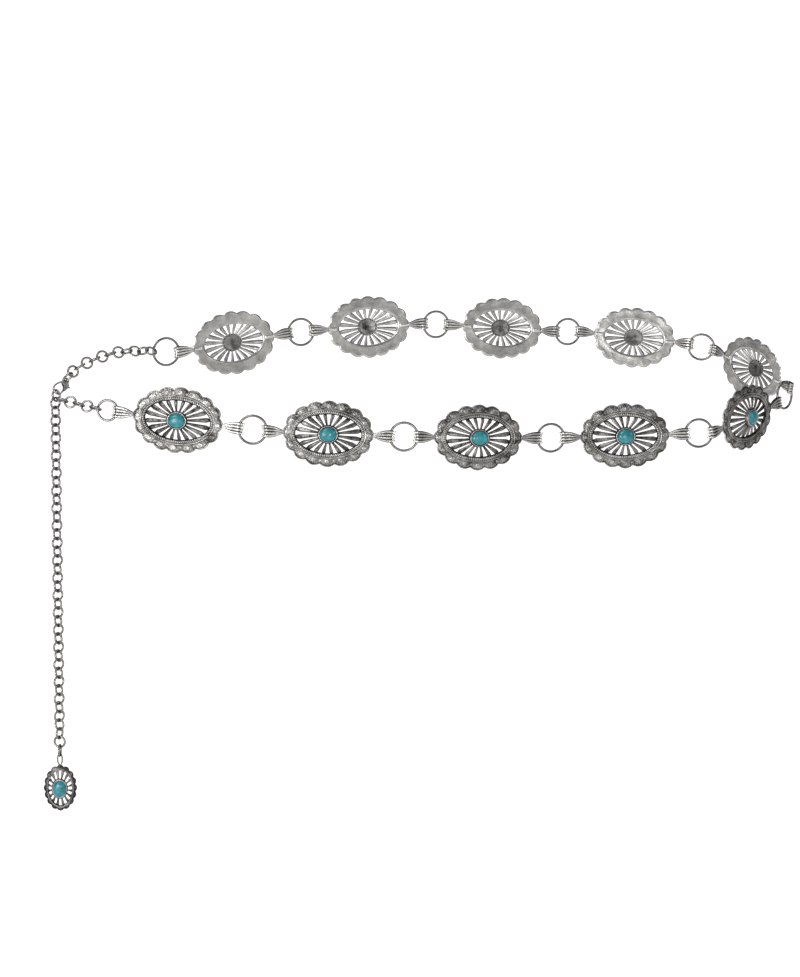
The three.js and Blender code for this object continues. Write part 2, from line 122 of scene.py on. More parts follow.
def material(name, metallic, coat=0.0):
    """A new material: its shade to build on, and its surface node with what never varies."""
    made = bpy.data.materials.new(name)
    made.use_nodes = True
    tree = made.node_tree
    surface = tree.nodes["Principled BSDF"]
    surface.inputs["Metallic"].default_value = metallic
    surface.inputs["Coat Weight"].default_value = coat
    return made, Shade(tree, None), surface


def put(shade, surface, name):
    """Lead a shade into the named socket of the surface."""
    shade.tree.links.new(shade.socket, surface.inputs[name])


def plated_silver(name, bright, dark, polish, grain):
    """Antique silver plate: dark where its point attribute is high, from antique patina and, on
    the rims and in the hubs' hollow backs, painted shade; bright where it is low, from rubbed tops
    and a painted highlight on the rims; and a little clouded by broad noise. Its bump is a cast
    grain in two sizes and slow waves, as a cast plate is never quite flat."""
    made, start, surface = material(name, 1.0)
    surface.inputs["Specular Tint"].default_value = (0.08, 0.08, 0.08, 1)
    recess = start.node("ShaderNodeAttribute", {"attribute_name": "recess"}, out=2)
    cloud = start.noise(0.006, 4.0)
    speck = start.noise(0.0011, 2.0)
    wear_and_glint = (1.08 - recess * 1.1 + (cloud - 0.5) * 0.7 + (speck - 0.5) * 0.4).clamp()
    put(wear_and_glint.between(dark, bright), surface, "Base Color")
    put(polish + (1 - wear_and_glint) * 0.1 + (speck - 0.5) * 0.1, surface, "Roughness")
    fine_grain = start.noise(0.0006, 2.0)
    coarse_grain = start.noise(0.0025, 2.0)
    waves = start.noise(0.011, 1.0)
    grains = fine_grain + coarse_grain * 1.5 + waves * 13
    bump = start.node(
        "ShaderNodeBump", None, {"Strength": grain, "Distance": 0.00012, "Height": grains}
    )
    put(bump, surface, "Normal")
    return made


def skin(name, tubes, finish):
    """One mesh out of closed tubes. Each tube is its rings of points (rings, around, 3) in metres,
    how dark each point is, and whether its last ring joins its first. If not, a face closes each
    end."""
    points, dark, quads, caps, offset = [], [], [], [], 0
    for ring_points, recess, endless in tubes:
        rings, around = ring_points.shape[:2]
        points.append(ring_points.reshape(-1, 3))
        dark.append(np.broadcast_to(recess, (rings, around)).ravel())
        rows = np.arange(rings if endless else rings - 1)[:, None]
        cols = np.arange(around)[None, :]
        here = rows * around + cols
        beside = rows * around + (cols + 1) % around
        up = ((rows + 1) % rings) * around
        quad = np.stack([here, beside, up + (cols + 1) % around, up + cols], -1).reshape(-1, 4)
        quads.append(quad + offset)
        if not endless:
            caps.append((np.arange(around)[::-1] + offset).tolist())
            caps.append((np.arange(around) + offset + (rings - 1) * around).tolist())
        offset += rings * around
    mesh = bpy.data.meshes.new(name)
    mesh.from_pydata(np.concatenate(points), [], np.concatenate(quads).tolist() + caps)
    layer = mesh.attributes.new("recess", "FLOAT", "POINT")
    layer.data.foreach_set("value", np.concatenate(dark).astype(np.float32))
    mesh.polygons.foreach_set("use_smooth", [True] * len(mesh.polygons))
    mesh.materials.append(finish)
    piece = bpy.data.objects.new(name, mesh)
    bpy.context.scene.collection.objects.link(piece)
    return piece


def unit(vectors):
    """Each vector divided by its length."""
    return vectors / np.linalg.norm(vectors, axis=-1, keepdims=True)


def tube(path, across, wide, thick, around=12, recess=0.0, endless=False,
         sides_dark=0.0, under_dark=0.0):
    """A bar along a path (rings, 3), with an ellipse at each ring: its points are the path, plus
    `wide` cos of an angle along `across`, plus `thick` sin of it along the normal to both. The
    darkness changes toward the sides by the cubed cosine and toward the under side by the sine."""
    path = np.asarray(path, float)
    after, before = np.roll(path, -1, 0), np.roll(path, 1, 0)
    if not endless:
        after[-1], before[0] = path[-1], path[0]
    along = unit(after - before)
    across = np.broadcast_to(np.asarray(across, float), path.shape)
    across = unit(across - (across * along).sum(-1, keepdims=True) * along)
    normal = np.cross(along, across)
    angle = np.arange(around) / around * 2 * np.pi
    wide = np.broadcast_to(wide, len(path))[:, None, None]
    thick = np.broadcast_to(thick, len(path))[:, None, None]
    ring = (
        path[:, None]
        + across[:, None] * wide * np.cos(angle)[None, :, None]
        + normal[:, None] * thick * np.sin(angle)[None, :, None]
    )
    dark = recess + sides_dark * np.abs(np.cos(angle))[None, :] ** 3
    dark = dark + under_dark * np.clip(-np.sin(angle), 0, 1)[None, :]
    return ring, np.broadcast_to(dark, ring.shape[:2]), endless


def oval_points(half_length, half_height, count):
    """Points equally spaced by arc length round an oval, from its +X end, and its outward normals:
    the half axes times cos and sin of an angle, which is read back from the summed arc length."""
    fine = np.linspace(0, 2 * np.pi, 4001)
    steps = np.hypot(half_length * np.sin(fine), half_height * np.cos(fine))
    reach = np.concatenate([[0], np.cumsum((steps[1:] + steps[:-1]) / 2)])
    angle = np.interp(np.arange(count) / count, reach / reach[-1], fine)
    place = np.stack([half_length * np.cos(angle), half_height * np.sin(angle)], -1)
    outward = np.stack([half_height * np.cos(angle), half_length * np.sin(angle)], -1)
    return place, unit(outward)


def hill(distance, width):
    """A bell: 1 at no distance, then e to minus the square of the distance over the width."""
    return np.exp(-((distance / width) ** 2))


def plate_body(size, columns):
    """The rim, the border and the back: one closed profile carried round the oval, in millimetres.
    Over the rim the height is a slope up to the border, plus a pillow in each scallop, minus a
    groove along the edge, plus the stamps: a ring with a dot, dots between scallops and a fan of
    strokes. Over the border it is a fine line and a half-round rope, its strands a cosine."""
    outer, outward = oval_points(size["length"] / 2, size["height"] / 2, columns)
    inner, _ = oval_points(size["pierced_length"] / 2, size["pierced_height"] / 2, columns)
    border, _ = oval_points(size["border_length"] / 2, size["border_height"] / 2, columns)
    wall, scale = size["thick"], size["stamp"]
    from_lobe = (np.arange(columns) / columns * LOBES + 0.5) % 1 - 0.5
    lobe = np.abs(from_lobe) * 2
    edge = outer + outward * (-size["scallop"] * lobe**2 + 0.03)[:, None]

    v = np.concatenate([np.linspace(0, 0.1, 3), np.linspace(0.16, 1, 15)])[None, :, None]
    rim = edge[:, None] * (1 - v) + border[:, None] * v
    from_edge = np.linalg.norm(rim - edge[:, None], axis=-1)
    span = np.linalg.norm(border - edge, axis=-1)[:, None]
    share = np.clip(from_edge / span, 0, 1)
    aside = from_lobe[:, None] * size["lobe_width"]
    edge_round = np.clip(from_edge / (0.45 * scale), 0, 1)
    pillow = 0.15 * scale * (1 - lobe[:, None] ** 2) * np.sin(np.pi * share)
    groove = hill(from_edge - 0.95 * scale, 0.26 * scale)
    to_ring = np.hypot(aside, from_edge - span * 0.66)
    ring = hill(to_ring - 0.85 * scale, 0.22 * scale) + hill(to_ring, 0.3 * scale)
    to_dot = np.hypot(np.abs(aside) - size["lobe_width"] / 2, from_edge - span * 0.62)
    dots = hill(to_dot, 0.5 * scale)
    strokes = hill(np.abs(np.sin(aside / size["lobe_width"] * STROKES * np.pi)), 0.5)
    fan = strokes * hill(from_edge - span * 0.24 - 0.5 * scale, 0.5 * scale)
    stamps = -0.22 * groove + 0.2 * ring + 0.26 * dots + 0.12 * fan
    rim_lift = wall * (0.35 + 0.2 * edge_round**0.5 + 0.45 * share**0.8) + pillow + stamps * scale
    # The rim is painted dark, partly antique patina and partly a painted dark reflection; its
    # stamps and outer edge are lighter, partly rubbed tops and partly a painted highlight.
    rubbed_tops_and_glint = 0.24 * ring + 0.36 * dots + 0.26 * fan + 0.45 * hill(from_edge, 0.32 * scale)
    rim_dark = size["shade"] + 0.14 * groove + 0.1 * lobe[:, None] ** 4 - size["glint"] * rubbed_tops_and_glint
    rim_dark = np.clip(rim_dark, 0, 1)

    w = np.linspace(0, 1, 15)[None, 1:, None]
    band = border[:, None] * (1 - w) + inner[:, None] * w
    t = w[..., 0]
    strand = np.cos(np.arange(columns)[:, None] / columns * 2 * np.pi * size["strands"] + 5 * t)
    line_ridge = hill(t - 0.13, 0.1)
    rope_ridge = np.clip(1 - ((t - 0.6) / 0.33) ** 2, 0, 1) ** 0.5
    band_lift = wall + size["rise"] * (0.7 * line_ridge + rope_ridge * (0.86 + 0.14 * strand))
    band_lift = np.where(t > 0.97, wall * 0.9, band_lift)
    band_dark = np.clip(0.98 - 0.36 * line_ridge - rope_ridge * (0.2 + 0.26 * strand), 0, 1)

    back = np.linspace(0, 1, 6)[None, :, None]
    back_ring = inner[:, None] * (1 - back) + edge[:, None] * back
    back_lift = 0.12 * scale * np.sin(np.pi * back[..., 0]) ** 0.5 + np.zeros((columns, 1))
    profile = np.concatenate([rim, band, back_ring], 1)
    height = np.concatenate([rim_lift, band_lift, back_lift], 1)
    dark = np.concatenate([rim_dark, band_dark, np.full((columns, 6), BACK_DARK)], 1)
    return np.concatenate([profile, height[..., None]], -1), dark, True


def plate_spokes(size):
    """The spokes: bars in a straight line from the hub to the border, whose half width follows a
    short table. They rise toward the hub by the dome times one minus the squared distance."""
    in_a, in_b = size["pierced_length"] / 2, size["pierced_height"] / 2
    hub_a, hub_b = size["hub_length"] / 2, size["hub_height"] / 2
    scale, twice = size["stamp"], 2 * size["spokes"]
    spoke_from, _ = oval_points(hub_a - 0.5 * scale, hub_b - 0.5 * scale, twice)
    spoke_to, _ = oval_points(in_a + 0.3 * scale, in_b + 0.3 * scale, twice)
    s = np.linspace(0, 1, 16)
    half_wide = np.interp(
        s, [0, 0.2, 0.55, 0.8, 0.88, 0.94, 1], [0.62, 0.78, 1.12, 1.36, 1.3, 1.05, 0.85]
    ) * size["spoke"]
    crest = 0.88 + 0.12 * hill(s - 1, 0.12) + 0.12 * hill(s, 0.15)
    spokes = []
    for start, end in zip(spoke_from[1::2], spoke_to[1::2]):
        line = start * (1 - s[:, None]) + end * s[:, None]
        reach = np.hypot(line[:, 0] / in_a, line[:, 1] / in_b)
        lift = size["thick"] * 0.45 + size["dome"] * np.clip(1 - reach**2, 0, 1)
        direction = unit(end - start)
        lean = 0.72 + 0.28 * abs(direction[0])
        side = np.array([-direction[1], direction[0], 0.0])
        path = np.concatenate([line, lift[:, None]], -1)
        spokes.append(tube(
            path, side, half_wide * lean, 0.55 * scale, 10, crest[:, None],
            sides_dark=-0.15, under_dark=-0.3,
        ))
    return spokes


def plate_hub(size):
    """The hub: one oval at the share of its size, the height and the darkness of each row, from
    the seat over the collar and its lip, down the outer wall and into the hollow back. A cosine
    round the lip makes its beads."""
    scale, around = size["stamp"], 48
    lip, seat, floor = 0.62 * scale, 0.25 * scale, -1.1 * scale
    # The last four rows, in the hollow back, are dark as painted shade inside the cup.
    rows = np.array([
        (0.30, seat - 0.4 * scale, 0.9), (0.80, seat - 0.4 * scale, 0.9),
        (0.845, seat + lip, 0.75), (0.875, seat + lip + 0.12 * scale, 0.4),
        (0.915, seat + lip, 0.55), (0.93, seat, 0.95), (1.02, seat - 0.25 * scale, 0.9),
        (1.03, -0.7 * scale, 0.95), (0.97, floor, 0.8), (0.8, floor + 0.2 * scale, 0.8),
        (0.5, floor + 0.6 * scale, 0.85), (0.2, floor + 0.8 * scale, 0.95),
    ])
    oval, _ = oval_points(size["hub_length"] / 2, size["hub_height"] / 2, around)
    rings = rows[:, None, :1] * oval[None]
    top = size["thick"] + size["dome"]
    lift = np.broadcast_to((rows[:, 1] + top)[:, None, None], (len(rows), around, 1))
    beads = 0.08 * scale * np.cos(np.arange(around) / around * 2 * np.pi * 24)[None, :, None]
    on_lip = hill(rows[:, 0] - 0.88, 0.02)[:, None, None]
    points = np.concatenate([rings, lift + beads * on_lip], -1)
    return points, np.broadcast_to(rows[:, 2][:, None], (len(rows), around)), False


def plate(size, columns):
    """A pierced oval plate, in millimetres: X runs along it, Z out of its front from its back."""
    return [plate_body(size, columns), *plate_spokes(size), plate_hub(size)]


def points_of(node):
    """The points of a CAD solid, each of them once."""
    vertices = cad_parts[node].data.vertices
    flat = np.empty(len(vertices) * 3)
    vertices.foreach_get("co", flat)
    return np.unique(np.round(flat.reshape(-1, 3), 6), axis=0)


def axes_of(node):
    """A stone's own axes, in metres: the middle of its base, then along it, up it and out of its
    front. They are the principal axes of its points, and its base is the wider side. The pendant
    hangs end down, so there the axis along it points down."""
    points = points_of(node)
    middle = points.mean(0)
    _, vectors = np.linalg.eigh(np.cov((points - middle).T))
    out, upright, along = vectors.T
    level = (points - middle) @ out
    spread = np.linalg.norm((points - middle) - level[:, None] * out, axis=1)
    out = -out if np.corrcoef(level, spread)[0, 1] > 0 else out
    if node == "pendant_stone":
        along = along if along[2] < 0 else -along
        upright = np.cross(out, along)
    else:
        upright = upright if upright[2] > 0 else -upright
        along = np.cross(upright, out)
    base = middle + out * ((points - middle) @ out).min()
    return base, np.stack([along, upright, out])


def middle_of(node):
    """The middle of a CAD solid's box."""
    low, high = (np.array(corner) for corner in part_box(node))
    return (low + high) / 2


def placed(tubes, origin, axes):
    """Tubes in millimetres on a piece's own axes, moved to their place in metres."""
    return [(points * MM @ axes + origin, dark, endless) for points, dark, endless in tubes]


# Millimetres, but for the counts strands and spokes and for four factors: stamp scales all the
# fine relief, spoke the width of the spokes and glint how much the stamps and the outer edge
# brighten, partly rubbed tops and partly a painted highlight, and shade is how dark the rim is,
# partly antique patina and partly a painted dark reflection.
CONCHO = {
    "length": 50.5, "height": 37.0, "pierced_length": 36.3, "pierced_height": 21.5,
    "border_length": 42.0, "border_height": 27.6, "scallop": 1.5, "lobe_width": 8.65,
    "thick": 1.2, "rise": 0.75, "strands": 92, "dome": 2.6, "hub_length": 11.6,
    "hub_height": 10.2, "spokes": 20, "spoke": 1.0, "stamp": 1.0, "glint": 1.0, "shade": 0.86,
}
# Millimetres too. HALF_SPAN is from the middle of a concho to the ring's wire, NECK to where the
# fingers leave the plate, and FINGERS are their places along the wire.
BACK_OF_PLATE = 0.25
STONE_GAP = 0.3
SEAT = BACK_OF_PLATE + CONCHO["thick"] + CONCHO["dome"] + STONE_GAP
HALF_SPAN = 34.05
NECK = 24.2
FINGERS = (-2.5, -0.84, 0.84, 2.5)
antique_silver = plated_silver("antique_silver", SILVER_BRIGHT, SILVER_DARK, 0.24, 0.5)
concho_tubes = plate(CONCHO, columns=400)


def bail(side, ring_middle, radius):
    """Four fingers from the plate's end to the ring: each path leaves the neck, fans out, passes
    over the wire, closes behind it and comes back under; a bead ends each one inside the ring."""
    contact = np.array([side * HALF_SPAN, 0, 0])
    toward = ring_middle * [1, 0, 1]
    toward = unit(toward - contact)
    over = np.cross([0, -side, 0], toward) * side
    over = over if over[2] > 0 else -over
    made = []
    for spot in FINGERS:
        inward = radius - math.sqrt(radius**2 - spot**2)
        here = contact + toward * inward + [0, spot, 0]
        neck = np.array([side * NECK, 0, 0])
        leaf = [
            neck + (here - neck) * [share, spread, share] + [0, 0, height]
            for share, spread, height in (
                (0, 0.18, 0.95), (0.25, 0.5, 1.1), (0.5, 0.85, 1.25), (0.75, 1, 1.2),
                (0.55, 0.9, -0.4), (0.25, 0.5, -0.2), (0, 0.18, 0.0),
            )
        ]
        route = np.array([
            *leaf[:4],
            here - toward * 0.8 + over * 1.18,
            here + over * 1.32,
            here + toward * 0.95 + over * 0.95,
            here + toward * 1.3,
            here + toward * 0.95 - over * 0.95,
            here - over * 1.25,
            here - toward * 1.6 - over * 0.75,
            *leaf[4:],
        ])
        fine = np.linspace(0, len(route) - 1, 40)
        stations = np.arange(len(route))
        path = np.stack([np.interp(fine, stations, route[:, k]) for k in range(3)], -1)
        kernel = np.array([1, 2, 3, 2, 1]) / 9
        padded = np.concatenate([path[:1], path[:1], path, path[-1:], path[-1:]])
        path = np.stack([np.convolve(padded[:, k], kernel, "valid") for k in range(3)], -1)
        wide = np.interp(
            fine, [0, 1, 2, 3, 9.5, 11, 13], [0.32, 0.52, 0.76, 0.88, 0.85, 0.7, 0.35]
        )
        dark = np.interp(
            fine, [0, 1.5, 3.2, 5, 7, 9, 13], [0.55, 0.5, 0.65, 0.5, 0.75, 0.5, 0.4]
        )
        made.append(tube(path, [0, 1, 0], wide, 0.36, 10, dark[:, None], sides_dark=0.6))
        made.append(bead(here + toward * 2.0 + over * 0.35, 0.78))
        made.append(bead(here + toward * 1.15 + over * 1.0, 0.5))
    lip = np.linspace(-2.9, 2.9, 9)
    inward = radius - np.sqrt(radius**2 - lip**2)
    bar = contact + toward * (inward + 1.45)[:, None] + np.outer(lip, [0, 1, 0])
    made.append(tube(bar, over, 0.62, 0.45, 10, 0.25))
    return made


def bead(centre, radius, recess=0.05):
    """A small ball: rings of latitude, the radius times cos of it, at the height of its sine. It
    is darker underneath."""
    latitude = np.linspace(-1.45, 1.45, 7)
    path = np.asarray(centre) + np.outer(np.sin(latitude) * radius, [0, 0, 1.0])
    spin = np.arange(10) / 10 * 2 * np.pi
    ring = np.stack([np.cos(spin), np.sin(spin), 0 * spin], -1)
    points = path[:, None] + ring[None] * (np.cos(latitude) * radius)[:, None, None]
    dark = recess + 0.7 * hill(latitude + 1.5, 1.0)
    return points, np.broadcast_to(dark[:, None], points.shape[:2]), False


def tongue(side):
    """The flat strip behind the rim: a straight bar from the bail to the border, whose half width
    grows evenly toward its inner end."""
    x = np.linspace(24.6, 19.4, 8) * side
    path = np.stack([x, 0 * x, np.full(8, BACK_OF_PLATE - 0.05)], -1)
    return tube(path, [0, 1, 0], np.linspace(0.7, 1.2, 8), 0.32, 10, 0.3)


RING_RADIUS = {name: 7.75 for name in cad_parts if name.startswith("ring_")}
RING_RADIUS["ring_front_end"] = 5.65
for row in ("front", "rear"):
    for number in range(1, 6):
        name = f"concho_{row}_{number}"
        base, axes = axes_of(f"stone_{row}_{number}")
        origin = base - axes[2] * SEAT * MM
        lift = np.array([0, 0, BACK_OF_PLATE])
        tubes = [(points + lift, dark, endless) for points, dark, endless in concho_tubes]
        for side in (-1, 1):
            end = origin + axes[0] * side * HALF_SPAN * MM
            nearest = min(RING_RADIUS, key=lambda ring: np.linalg.norm(middle_of(ring) - end))
            ring_middle = (middle_of(nearest) - origin) @ axes.T / MM
            tubes += bail(side, ring_middle, RING_RADIUS[nearest]) + [tongue(side)]
        concho = skin(f"concho_{row}_{number}_cast", placed(tubes, origin, axes), antique_silver)
        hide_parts(name)
        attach(concho, "belt")

# The stones.
# Oval cabochons of imitation turquoise, opaque and polished, glued into the collars. The blue is
# mottled with teal and pale patches, and fine dark veins run through it.
def turquoise_stone(name):
    """Turquoise: a ramp over broad and fine noise, darkened where the fine noise is at its middle,
    which draws the veins."""
    made, start, surface = material(name, 0.0, 0.3)
    surface.inputs["Coat Roughness"].default_value = 0.08
    surface.inputs["Specular IOR Level"].default_value = 0.3
    patch = start.noise(0.0034, 4.0, 0.6)
    vein = start.noise(0.0016, 5.0, 0.7)
    colour = start.node(
        "ShaderNodeValToRGB",
        {"stops": [
            (0.28, (0.004, 0.060, 0.075, 1)), (0.42, (0.006, 0.110, 0.132, 1)),
            (0.55, (0.010, 0.168, 0.195, 1)), (0.68, (0.024, 0.260, 0.292, 1)),
        ]},
        {"Fac": patch * 0.8 + vein * 0.2},
    )
    line = (1 - (start.math("ABSOLUTE", vein - 0.5, 0.0) * 26).clamp()) * 0.45
    put(line.between(colour, (0.03, 0.09, 0.09, 1)), surface, "Base Color")
    put(0.2 + patch * 0.16, surface, "Roughness")
    return made


STONE = (9.5, 8.0, 2.6)
turquoise = turquoise_stone("turquoise")


def cabochon(length, width, height, around=40):
    """A domed oval: rings whose radius is the cosine and whose height the sine of one angle,
    to a power that makes the shoulder full, on a short straight girdle."""
    angle = np.linspace(0, 1.52, 12)
    radius = np.concatenate([[0.1, 0.97, 1.0], np.cos(angle) ** 0.8])
    level = np.concatenate([[0, 0, 0.05], 0.2 + 0.8 * np.sin(angle)])
    spin = np.arange(around) / around * 2 * np.pi
    ring = np.stack([np.cos(spin) * length / 2, np.sin(spin) * width / 2], -1)
    points = np.concatenate([
        radius[:, None, None] * ring[None],
        np.broadcast_to((level * height)[:, None, None], (len(level), around, 1)),
    ], -1)
    return points, np.zeros((len(level), around)), False


for row in ("front", "rear"):
    for number in range(1, 6):
        name = f"stone_{row}_{number}"
        base, axes = axes_of(name)
        stone = skin(f"{name}_cabochon", placed([cabochon(*STONE)], base, axes), turquoise)
        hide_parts(name)
        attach(stone, "belt")

# The rings.
# Round wire, 1.4 mm thick, bent into circles, closed and plated like the conchos: eleven of them,
# which join the conchos to each other and to the chains. The one at the front end is smaller.
WIRE = 0.7
ring_silver = plated_silver("ring_silver", (0.2, 0.195, 0.188, 1), SILVER_DARK, 0.2, 0.15)


def ring_tube(centre, along, upright, radius, wire, count, around):
    """A hoop: a circle of this radius in the plane of the two directions, with round wire."""
    angle = np.arange(count) / count * 2 * np.pi
    path = centre + radius * (np.outer(np.cos(angle), along) + np.outer(np.sin(angle), upright))
    return tube(path, np.cross(along, upright), wire, wire, around, 0.22, endless=True)


def plane_of(node):
    """Two directions in a hoop's plane: the two widest principal axes of its points."""
    points = points_of(node)
    _, vectors = np.linalg.eigh(np.cov((points - points.mean(0)).T))
    return points.mean(0), vectors[:, 2], vectors[:, 1]


for name, radius in RING_RADIUS.items():
    centre, along, upright = plane_of(name)
    hoop = ring_tube(centre / MM, along, upright, radius, WIRE, 72, 12)
    ring = skin(f"{name}_wire", [(hoop[0] * MM, hoop[1], True)], ring_silver)
    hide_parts(name)
    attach(ring, "belt")

# The chains.
# Round links of plated wire, each closed through the next and turned a quarter turn from it: a
# short run to the small ring, a longer one from the clasp to the rear ring, and the hanging end.
LINK = 3.04
LINK_WIRE = 0.63
PITCH = 4.9
RING_REACH = 1.42
REAR_CONTACTS = [
    (-163.7, -23.1, 16.9), (-167.1, -24.9, 17.2), (-171.4, -27.2, 17.2), (-175.8, -29.4, 17.3),
    (-180.1, -31.6, 17.1), (-184.4, -33.9, 16.5), (-188.6, -36.2, 15.4), (-192.7, -38.5, 14.0),
    (-196.7, -40.8, 12.3), (-200.5, -43.2, 10.4), (-204.1, -45.8, 8.2), (-207.0, -48.7, 5.6),
    (-208.9, -52.1, 1.9),
]
FRONT_CONTACTS = [
    (-211.9, -59.8, -7.6), (-207.2, -60.5, -8.7), (-202.5, -61.3, -9.8), (-197.7, -62.1, -10.9),
    (-193.0, -62.9, -11.9), (-189.3, -63.5, -12.7),
]
JUNCTION = (-213.15, -58.70, -5.81)
TAIL_TOP = (-213.68, -58.25, -10.03)
TAIL_LINKS = 41
UP = np.array([0, 0, 1.0])
chain_silver = plated_silver(
    "chain_silver", (0.25, 0.244, 0.232, 1), (0.020, 0.019, 0.018, 1), 0.24, 0.15
)


def link(centre, along, side):
    """One link: a hoop in the plane of the two directions."""
    return ring_tube(centre, along, side, LINK, LINK_WIRE, 32, 10)


def link_run(contacts, first_reach, turns):
    """A link on each straight step between the contacts, half a pitch from its start (the first
    one this far), and turned about the step: its plane holds the step and the direction upright
    cos + outward sin of its turn."""
    contacts = np.asarray(contacts, float)
    along = unit(contacts[1:] - contacts[:-1])
    reach = np.full((len(along), 1), PITCH / 2)
    reach[0] = first_reach
    centres = contacts[:-1] + along * reach
    outward = unit(np.cross(along, [0, 0, 1.0]))
    upright = np.cross(outward, along)
    angle = np.radians(turns)[:, None]
    side = upright * np.cos(angle) + outward * np.sin(angle)
    return [link(centre, a, b) for centre, a, b in zip(centres, along, side)]


def chain(name, node, links):
    """The links, in millimetres, as one piece in place of this CAD node."""
    tubes = [(points * MM, dark, endless) for points, dark, endless in links]
    piece = skin(name, tubes, chain_silver)
    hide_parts(node)
    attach(piece, "belt")


count = np.arange(12)
rear_turn = np.interp(count / 11, [0, 0.4, 1], [50, 15, 14]) + 90 * (count % 2)
chain("rear_chain", "chain_rear", link_run(REAR_CONTACTS, RING_REACH, rear_turn))

heading = np.array([math.cos(math.radians(-40)), math.sin(math.radians(-40)), 0])
junction = link(np.array(JUNCTION), heading, UP)
front_turn = 70.0 + 90 * (np.arange(5) % 2)
front = link_run(FRONT_CONTACTS, PITCH / 2, front_turn)
chain("front_chain", "chain_front", [junction, *front])

tail = []
for step in range(TAIL_LINKS):
    share = step / (TAIL_LINKS - 1)
    facing = np.interp(share, [0, 0.2, 0.9, 1], [-40, -45, -45, 0])
    facing = math.radians(facing + (90 if step % 2 == 0 else 0))
    level = np.array([math.cos(facing), math.sin(facing), 0])
    centre = np.array(TAIL_TOP) - [0, 0, step * PITCH]
    tail.append(link(centre, level, UP))
chain("tail_chain", "chain_tail", tail)

# The clasp.
# A lobster clasp, cast in one with its eye and hook and plated. Its lever turns on a pin between
# two cheeks, and a spring inside the head keeps it shut; the small knob opens it.
CLASP_ORIGIN = np.array([-208.939, -52.067, 1.878]) * MM
CLASP_AXES = np.array([
    [-0.2956, -0.6834, -0.6675], [0.7655, 0.2485, -0.5935], [0.5715, -0.6864, 0.4497],
])
HOOK_OUTSIDE = np.array([
    (1.76, -2.09), (3.41, -3.41), (5.94, -4.51), (8.36, -4.62), (10.12, -3.74), (11.0, -1.98),
    (10.67, 0.0), (9.68, 1.54),
])
HOOK_INSIDE = np.array([
    (2.42, -1.27), (3.94, -2.50), (6.19, -3.49), (8.17, -3.59), (9.38, -3.00), (9.96, -1.83),
    (9.69, -0.37), (8.80, 0.97),
])
LEVER_PIVOT = np.array([2.2, 1.87])
clasp_silver = plated_silver("clasp_silver", (0.36, 0.353, 0.34, 1), SILVER_DARK, 0.3, 0.8)


def smooth_line(points, count):
    """A curve from the first point to the last, near the others: each corner is cut at the
    quarters of its sides, three times over, and the line is then resampled evenly."""
    line = np.asarray(points, float)
    for _ in range(3):
        ahead = line[:-1] * 0.75 + line[1:] * 0.25
        behind = line[:-1] * 0.25 + line[1:] * 0.75
        middle = np.stack([ahead, behind], 1).reshape(-1, line.shape[1])
        line = np.concatenate([line[:1], middle, line[-1:]])
    reach = np.concatenate([[0], np.cumsum(np.linalg.norm(np.diff(line, axis=0), axis=1))])
    at = np.linspace(0, reach[-1], count)
    return np.stack([np.interp(at, reach, line[:, k]) for k in range(line.shape[1])], -1)


def slab(outline, low, high, recess=0.3, bevel=0.12):
    """A flat plate of this outline between two heights: rings of the outline, drawn in toward its
    middle by the shares of the bevel that round its edges and close its top and bottom."""
    outline = np.asarray(outline, float)
    centre = outline.mean(0)
    span = np.linalg.norm(outline - centre, axis=1).mean()
    drawn = 1 - bevel / span * np.array([3, 1, 0.3, 0, 0, 0.3, 1, 3])
    rise = bevel * np.array([0, 0, 0.4, 1])
    level = np.concatenate([low + rise, high - rise[::-1]])
    flat = centre + (outline - centre)[None] * drawn[:, None, None]
    heights = np.broadcast_to(level[:, None, None], (8, len(outline), 1))
    return np.concatenate([flat, heights], -1), np.full((8, len(outline)), recess), False


mid_hook = smooth_line((HOOK_OUTSIDE + HOOK_INSIDE) / 2, 36)
mid_hook = np.concatenate([mid_hook, np.zeros((36, 1))], -1)
hook = tube(mid_hook, [0, 0, 1.0], 0.68, 0.52, 12, 0.25)
eye = ring_tube(np.zeros(3), np.array([1.0, 0, 0]), np.array([0, 1.0, 0]), 1.62, 0.4, 28, 10)
eye = (eye[0] * [1, 1, 2.2], eye[1], True)
head_line = smooth_line([
    (1.9, -1.5), (3.3, -0.5), (3.96, 0.77), (6.0, 1.1), (6.2, 2.3), (4.2, 3.05), (2.2, 2.95),
    (0.6, 1.95), (0.9, 0.9), (1.7, 0.2), (1.9, -1.5),
], 41)[:-1]
cheeks = [slab(head_line, 0.66, 1.14), slab(head_line, -1.14, -0.66)]
web_line = smooth_line([
    (1.8, -1.9), (2.6, -1.2), (2.4, -0.1), (1.4, 0.5), (0.75, 1.2), (0.45, 1.8), (0.2, 1.6),
    (1.2, 0.3), (1.5, -0.9), (1.8, -1.9),
], 31)[:-1]
web = slab(web_line, -1.0, 1.0)
rivet = np.array([(*LEVER_PIVOT, level) for level in (-1.16, -0.5, 0.5, 1.16)])
pin = tube(rivet, [1.0, 0, 0], 0.42, 0.42, 16, 0.1)
clasp_tubes = placed([hook, eye, *cheeks, web, pin], CLASP_ORIGIN, CLASP_AXES)
clasp = skin("clasp_cast", clasp_tubes, clasp_silver)
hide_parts("clasp_body")
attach(clasp, "belt")

